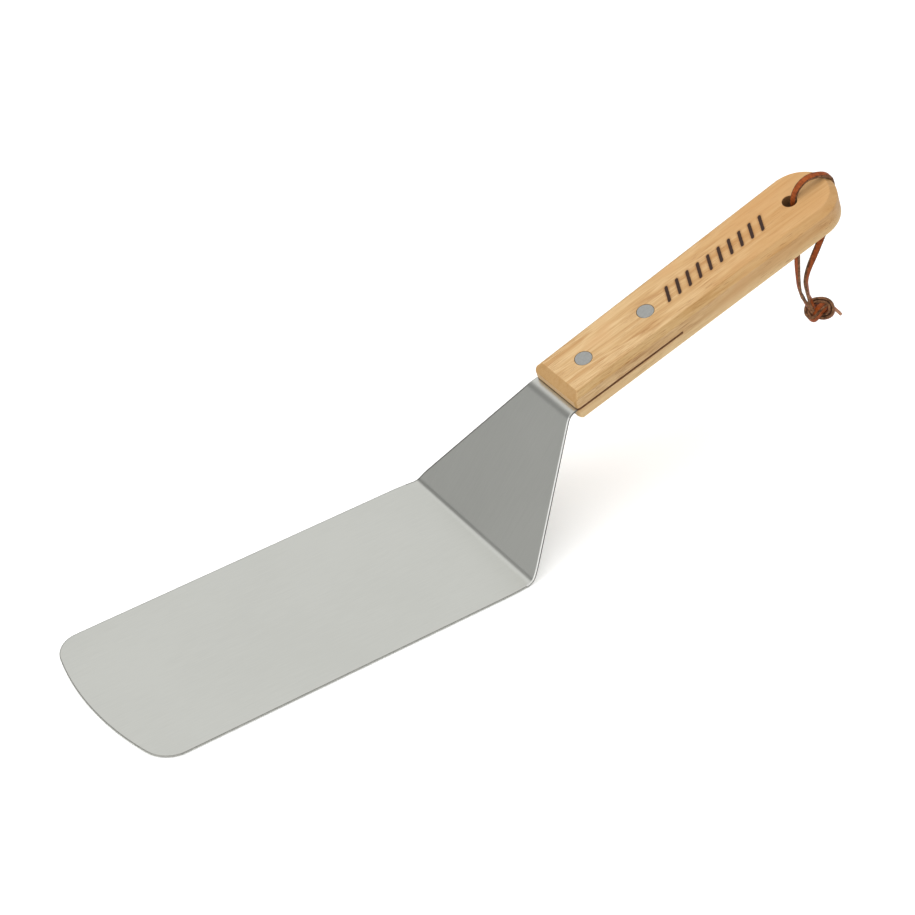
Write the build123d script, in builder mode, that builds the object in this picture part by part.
"""Grill turner: a cranked stainless sheet, riveted into a slotted wooden handle with a leather lace.

Millimetres, +Z up. X runs from the blade's tip to the handle's butt, and Y across.
The blade lies flat on Z = 0, and the origin is under the middle of the overall length.
"""

from build123d import *
from math import cos, pi, radians, sin, sqrt, tan
import os

# Sheet: blade, neck and tang are one piece, folded twice
sheet = 1.2                  # thickness
blade_length = 199.0         # tip to the first fold
blade_half = 45.0            # half the blade's width
tip_radius = 124.0           # the slight curve of the front edge
tip_corner = 14.0            # its rounded corners
neck_length = 69.5           # first fold to second, along the slope
neck_angle = 53.65           # neck above the table, degrees
heel_radius = 4.5            # first fold, on the upper, inner side
crank_radius = 8.0           # second fold, on the upper, outer side
heel_shoulder_radius = 40.0  # plan rounding where the blade meets the neck
crank_shoulder_radius = 18.0  # and where the neck meets the tang
tang_half = 14.8             # half the width where the sheet enters the wood
tang_inner_half = 9.0        # half the width inside the saw slot
tang_length = 64.5           # from the second fold

# Handle: s runs along it from the second fold, and h up from the tang's upper face
handle_angle = 17.75         # handle above the table, degrees
handle_front = 4.5
butt_centre = 150.3          # centre of the half-round end
front_half = 15.05
butt_half = 17.5
wood_above = 7.9
wood_below = 9.2
front_bevel = 2.4            # long edges, at the front
butt_bevel = 3.2             # long edges, at the butt
nose_bevel = 3.9             # broad facets over and under the front end
nose_corner = 1.8            # its upright corners
softening = 0.6              # sanded edges
slot_play = 0.05             # free play of the tang on each face
slot_end = 65.5

# Two-piece rivets, set flush in the wood
rivet_places = {"front": 22.4, "rear": 58.7}
head_radius = 4.0
head_depth = 1.5
head_gap = 0.2               # ring round each head
head_edge = 0.15
barrel_radius = 2.5          # tube of the lower half
barrel_top = 3.5             # how far up h the tube reaches
pin_radius = 1.6             # pin of the upper half, pressed into the tube
pin_reach = -6.0             # how far down h the pin reaches
pin_press = 0.02
rivet_play = 0.05

# Leather lace through the hanging hole
hang_place = 145.0
hang_radius = 3.5
lace_radius = 1.1            # round rod with the section area of the flat lace
knot_centre = Vector(197.7, -3.0, 39.7)
knot_half_length = 7.6
knot_radius = 5.2

# Reference points, directions and planes
heel_x = -1.7                # first fold
tip_x = heel_x - blade_length
heel = Vector(heel_x, 0, sheet)
slope = Vector(cos(radians(neck_angle)), 0, sin(radians(neck_angle)))
crank = heel + slope * neck_length
along = Vector(cos(radians(handle_angle)), 0, sin(radians(handle_angle)))
upward = Vector(-sin(radians(handle_angle)), 0, cos(radians(handle_angle)))
neck_plane = Plane(origin=heel, x_dir=slope, z_dir=Vector(-slope.Z, 0, slope.X))
handle_plane = Plane(origin=crank, x_dir=along, z_dir=upward)
reach = 60.0                 # safely past the object's sides


def on_handle(s, y=0.0, h=0.0):
    """A point given by its place along, across and above the tang."""
    return crank + along * s + Vector(0, y, 0) + upward * h


def across(s):
    """The plane square to the handle at s: its X is the row's Y, and its Y is upward."""
    return Plane(origin=on_handle(s), x_dir=(0, 1, 0), z_dir=along)


def finish(piece, name):
    """Labels a finished piece and writes its STEP file."""
    piece.part.label = name
    export_step(piece.part, f"parts/{name}.step")


os.makedirs("parts", exist_ok=True)

# Blade, neck and tang: the folded strip, trimmed to its outline square to each stretch
with BuildPart() as blade:
    with BuildSketch(Plane.XZ) as side_view:
        with BuildLine():
            tang_tip = on_handle(tang_length)
            FilletPolyline(
                (tip_x, sheet),
                (heel.X, heel.Z),
                (crank.X, crank.Z),
                (tang_tip.X, tang_tip.Z),
                radius=[heel_radius, crank_radius],
            )
            offset(amount=sheet, side=Side.RIGHT, mode=Mode.ADD)
        make_face()
    extrude(amount=blade_half, both=True)
    with BuildSketch(Plane.XY) as plan_view:
        sagitta = tip_radius - sqrt(tip_radius**2 - blade_half**2)
        with BuildLine():
            ThreePointArc((tip_x + sagitta, blade_half), (tip_x, 0), (tip_x + sagitta, -blade_half))
            Polyline(
                (tip_x + sagitta, -blade_half),
                (blade_length, -blade_half),
                (blade_length, blade_half),
                (tip_x + sagitta, blade_half),
            )
        make_face()
        fillet(plan_view.vertices().group_by(Axis.X)[0], tip_corner)
    extrude(amount=2 * blade_half, both=True, mode=Mode.INTERSECT)
    with BuildSketch(neck_plane) as beside_neck:
        with BuildLine():
            FilletPolyline(
                (-reach / 4, blade_half),
                (0, blade_half),
                (neck_length, tang_half),
                (neck_length + reach / 4, tang_half),
                radius=[heel_shoulder_radius, crank_shoulder_radius],
            )
            Polyline(
                (neck_length + reach / 4, tang_half),
                (neck_length + reach / 4, reach),
                (-reach / 4, reach),
                (-reach / 4, blade_half),
            )
        make_face()
        mirror(about=Plane.XZ)
    extrude(amount=reach / 2, both=True, mode=Mode.SUBTRACT)
    with BuildSketch(handle_plane) as beside_tang:
        with BuildLine():
            shoulder = tang_half - tang_inner_half
            Polyline(
                (0, tang_half),
                (handle_front, tang_half),
                (handle_front + shoulder, tang_inner_half),
                (2 * tang_length, tang_inner_half),
                (2 * tang_length, reach),
                (0, reach),
                close=True,
            )
        make_face()
        mirror(about=Plane.XZ)
        with Locations(*[(s, 0) for s in rivet_places.values()]):
            Circle(barrel_radius + 2 * rivet_play)
    extrude(amount=sheet, both=True, mode=Mode.SUBTRACT)
finish(blade, "blade")

# Handle: one tapering eight-sided bar with a half-round butt, sawn open for the tang
depth = wood_above + wood_below
middle = (wood_above - wood_below) / 2
with BuildPart() as handle:
    for s, half, bevel in (
        (handle_front, front_half, front_bevel),
        (butt_centre, butt_half, butt_bevel),
    ):
        with BuildSketch(across(s)) as section:
            with Locations((0, middle)):
                Rectangle(2 * half, depth)
            chamfer(section.vertices(), bevel)
    loft()
    with BuildSketch(across(butt_centre)) as near_half:
        with Locations((0, middle)):
            Rectangle(2 * butt_half, depth)
        chamfer(near_half.vertices(), butt_bevel)
        with Locations((butt_half, middle)):
            Rectangle(2 * butt_half, depth, mode=Mode.SUBTRACT)
    revolve(axis=Axis(on_handle(butt_centre), upward), revolution_arc=180)
    nose = handle.faces().sort_by(Axis(crank, along))[0]
    chamfer(nose.edges().filter_by(Axis.Y), nose_bevel)
    nose = handle.faces().sort_by(Axis(crank, along))[0]
    fillet(nose.edges().filter_by(Axis(crank, upward)), nose_corner)
    fillet(handle.edges(), softening)
    with BuildSketch(Plane.XZ) as saw_slot:
        slot_middle = on_handle((handle_front + slot_end) / 2 - reach / 2, h=-sheet / 2)
        with Locations((slot_middle.X, slot_middle.Z)):
            Rectangle(
                slot_end - handle_front + reach,
                sheet + 2 * slot_play,
                rotation=handle_angle,
            )
    extrude(amount=reach, both=True, mode=Mode.SUBTRACT)
    for s in rivet_places.values():
        with Locations(handle_plane * Location((s, 0, wood_above))):
            CounterBoreHole(
                barrel_radius + rivet_play,
                head_radius + head_gap,
                head_depth,
                depth,
            )
        with Locations(handle_plane * Location((s, 0, -wood_below), (180, 0, 0))):
            CounterBoreHole(
                barrel_radius + rivet_play,
                head_radius + head_gap,
                head_depth,
                depth,
            )
    with Locations(handle_plane * Location((hang_place, 0, wood_above))):
        Hole(hang_radius)
finish(handle, "handle")

# Rivets: a headed tube from below takes a headed pin from above
for place, s in rivet_places.items():
    foot = Plane(origin=on_handle(s, h=-wood_below), x_dir=along, z_dir=upward)
    with BuildPart() as cap:
        with BuildSketch(foot):
            Circle(head_radius)
        extrude(amount=head_depth)
        with BuildSketch(foot.offset(head_depth)):
            Circle(barrel_radius)
        extrude(amount=wood_below + barrel_top - head_depth)
        with BuildSketch(foot.offset(head_depth)):
            Circle(pin_radius)
        extrude(amount=depth, mode=Mode.SUBTRACT)
        fillet(cap.faces().sort_by(Axis(on_handle(s), upward))[0].edges(), head_edge)
    finish(cap, f"{place}_rivet_tube")
    crown = foot.offset(depth)
    with BuildPart() as post:
        with BuildSketch(crown):
            Circle(head_radius)
        extrude(amount=-head_depth)
        with BuildSketch(crown.offset(-head_depth)):
            Circle(pin_radius + pin_press)
        extrude(amount=-(wood_above - head_depth - pin_reach))
        fillet(post.faces().sort_by(Axis(on_handle(s), upward))[-1].edges(), head_edge)
    finish(post, f"{place}_rivet_pin")

# Lace: round rods along the strands of one flat lace, tied in a loop through the hanging hole
lace_routes = {
    "lace_over_end": [
        (180.6, 0.0, 94.0),
        (178.2, 0.0, 102.0),
        (176.8, 0.0, 112.4),
        (182.6, 0.0, 118.4),
        (190.8, -0.1, 119.0),
        (198.8, -0.9, 117.0),
        (201.3, -0.6, 109.6),
        (203.0, 1.2, 101.2),
    ],
    "lace_front_strand": [
        (181.2, 0.0, 91.4),
        (182.2, -0.1, 79.5),
        (183.2, -0.3, 67.5),
        (185.4, -0.6, 54.0),
        (193.4, -3.4, 43.0),
    ],
    "lace_rear_strand": [
        (202.6, 1.2, 99.4),
        (200.3, 0.4, 86.4),
        (194.4, -0.6, 75.8),
        (187.3, -1.3, 62.0),
        (189.6, -1.7, 52.4),
        (195.4, 0.3, 43.4),
    ],
    "lace_tail": [
        (202.6, -3.9, 40.8),
        (206.8, -4.6, 37.9),
        (209.7, -5.1, 34.1),
    ],
    "lace_tucked_tail": [
        (199.0, -1.0, 38.6),
        (200.5, 2.0, 36.4),
        (202.4, 4.4, 34.3),
    ],
}
bend_share = 0.45            # of the shorter run, taken up by each bend


def bend_radii(points):
    """The radius at each corner of a route, as large as its two runs allow."""
    radii = []
    for before, corner, after in zip(points, points[1:], points[2:]):
        first = Vector(*corner) - Vector(*before)
        second = Vector(*after) - Vector(*corner)
        shorter = min(first.length, second.length)
        radii.append(bend_share * shorter / tan(radians(first.get_angle(second) / 2)))
    return radii


for name, points in lace_routes.items():
    with BuildPart() as rod:
        with BuildLine():
            middle_line = FilletPolyline(*points, radius=bend_radii(points))
        with BuildSketch(Plane(origin=middle_line @ 0, z_dir=middle_line % 0)):
            Circle(lace_radius)
        sweep()
    finish(rod, name)
    expected = pi * lace_radius**2 * middle_line.length
    print(name, "radii", [round(radius, 1) for radius in bend_radii(points)])
    print("  length", round(middle_line.length, 1), "volume share", round(rod.part.volume / expected, 4))

# Knot: one smooth lump of the knot's size, long way in the plane of the hanging strands
knot_axis = Vector(0.984, -0.176, 0)
knot_plane = Plane(origin=knot_centre, x_dir=knot_axis, z_dir=knot_axis.cross(Vector(0, 0, 1)))
with BuildPart() as knot:
    with BuildSketch(knot_plane):
        Ellipse(knot_half_length, knot_radius)
        with Locations((0, -knot_radius)):
            Rectangle(2 * knot_half_length, 2 * knot_radius, mode=Mode.SUBTRACT)
    revolve(axis=Axis(knot_centre, knot_axis), revolution_arc=360)
finish(knot, "lace_knot")
